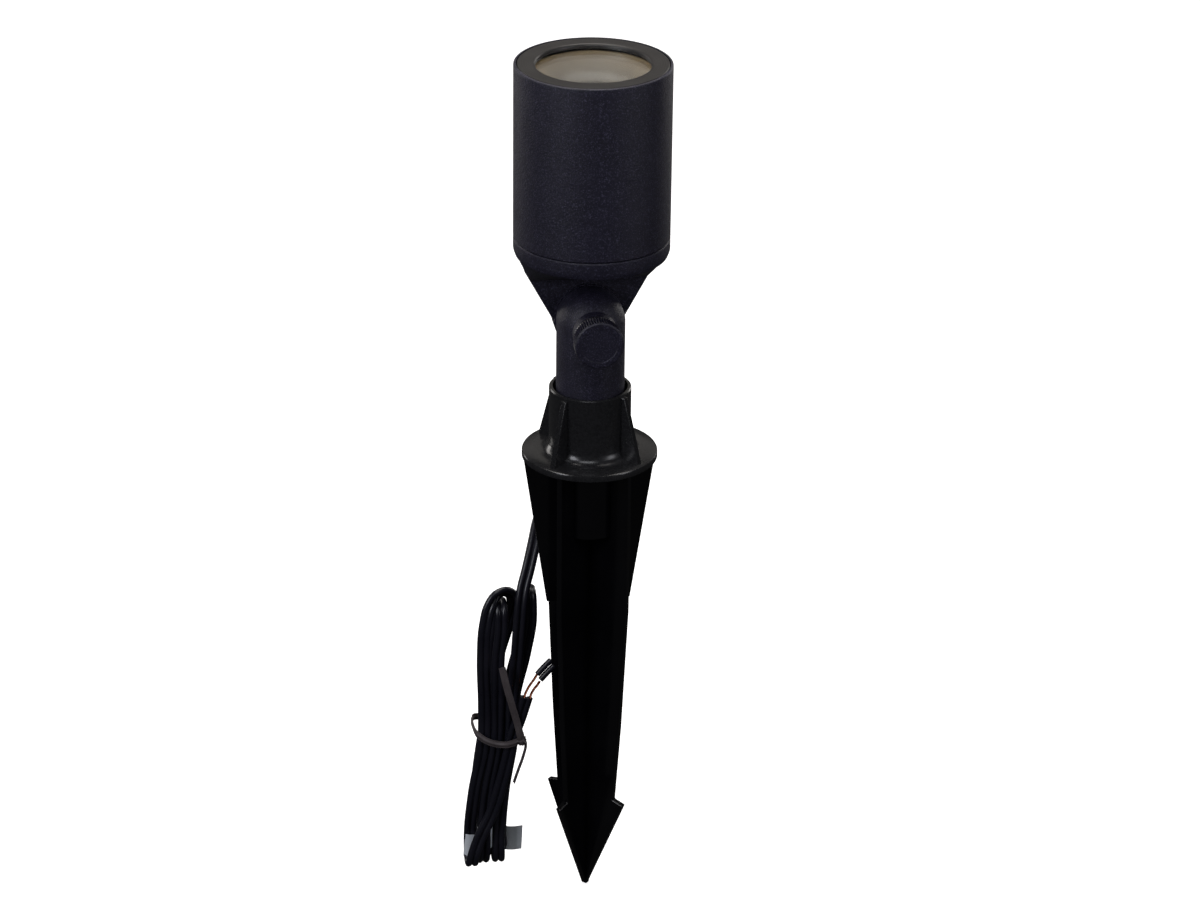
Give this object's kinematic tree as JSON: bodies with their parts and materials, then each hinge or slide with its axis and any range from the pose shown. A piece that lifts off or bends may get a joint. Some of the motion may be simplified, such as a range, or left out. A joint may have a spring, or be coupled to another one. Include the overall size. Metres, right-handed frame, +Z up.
{
  "type": "garden spotlight on a ground stake",
  "caption": "Low-voltage garden spotlight: round head with a flat lens on a clamped tilting knuckle, a post in a barbed ground stake, and a flat lead tied in a hank.",
  "frame": {"origin": "centre of the underside of the stake's flange, which sits on the ground", "axes": "+Z up along the stake, post and head; -Y towards the clamp knob; +X to the right seen from the knob's side"},
  "size_m": [0.0794, 0.0661, 0.355],
  "materials": {
    "powder_coat": "black textured powder coat on cast aluminium, satin with a fine grain",
    "glossy_black": "injection-moulded glossy black plastic",
    "lens_ring": "smooth dark brown-grey satin",
    "glass": "clear flat glass",
    "seal_rubber": "matt black rubber",
    "aluminium": "plain machined aluminium",
    "circuit_board": "dark solder mask",
    "phosphor": "white light-emitting disc",
    "cup_cream": "cream moulded reflector",
    "steel": "zinc-plated steel",
    "brass": "turned brass",
    "lead_black": "black vinyl insulation, slightly glossy",
    "tie_grey": "grey-brown plastic strip over a wire",
    "tag_white": "blank white paper",
    "copper": "bare copper strands"
  },
  "bodies": {
    "stake": {"ground_stake": "glossy_black", "supply_lead": "lead_black", "outlet_grommet": "seal_rubber", "cord_lead": "lead_black", "cord_hank": "lead_black", "cord_tail": "lead_black", "twist_tie": "tie_grey", "cord_tag": "tag_white", "bare_conductor_1": "copper", "bare_conductor_2": "copper", "insulation_slug_1": "lead_black", "insulation_slug_2": "lead_black"},
    "post": {"knuckle_post": "powder_coat", "post_washer": "seal_rubber"},
    "head": {"rear_housing": "powder_coat", "threaded_insert": "brass", "body_o_ring": "seal_rubber", "heat_sink": "aluminium", "led_board": "circuit_board", "led_diffuser": "phosphor", "reflector_cup": "cup_cream", "driver_board": "circuit_board", "input_capacitor": "lead_black", "output_capacitor": "lead_black", "inductor": "copper", "rectifier": "lead_black", "control_chip": "lead_black", "board_screw_1": "steel", "board_screw_2": "steel", "lead_grommet": "seal_rubber", "driver_lead_1": "lead_black", "driver_lead_2": "lead_black", "light_lead_1": "lead_black", "light_lead_2": "lead_black"},
    "lens": {"lens_glass": "glass", "lens_gasket": "seal_rubber"},
    "shroud": {"lens_shroud": "powder_coat", "lens_ring": "lens_ring"},
    "washer": {"clamp_washer": "steel"},
    "knob": {"clamp_knob": "powder_coat", "clamp_screw": "steel"}
  },
  "joints": [
    {"name": "post_pan", "type": "hinge", "parent": "stake", "child": "post", "pos_m": [0, 0, 0.02], "axis": [0, 0, 1], "range_deg": [-180, 180]},
    {"name": "head_tilt", "type": "hinge", "parent": "post", "child": "head", "pos_m": [0, 0, 0.056], "axis": [0, 1, 0], "range_deg": [-90, 90]},
    {"name": "lens_travel", "type": "slide", "parent": "head", "child": "lens", "axis": [0, 0, 1], "range_m": [0, 0.00301]},
    {"name": "shroud_turn", "type": "hinge", "parent": "lens", "child": "shroud", "pos_m": [0, 0, 0.092], "axis": [0, 0, 1], "range_deg": [0, 720]},
    {"name": "washer_travel", "type": "slide", "parent": "post", "child": "washer", "axis": [0, -1, 0], "range_m": [0, 0.00161]},
    {"name": "knob_turn", "type": "hinge", "parent": "washer", "child": "knob", "pos_m": [0, -0.018, 0.056], "axis": [0, -1, 0], "range_deg": [0, 720]}
  ],
  "couplings": [
    {"joint": "lens_travel", "follows": "shroud_turn", "m_per_rad": 0.00023873},
    {"joint": "washer_travel", "follows": "knob_turn", "m_per_rad": 0.00012732}
  ]
}
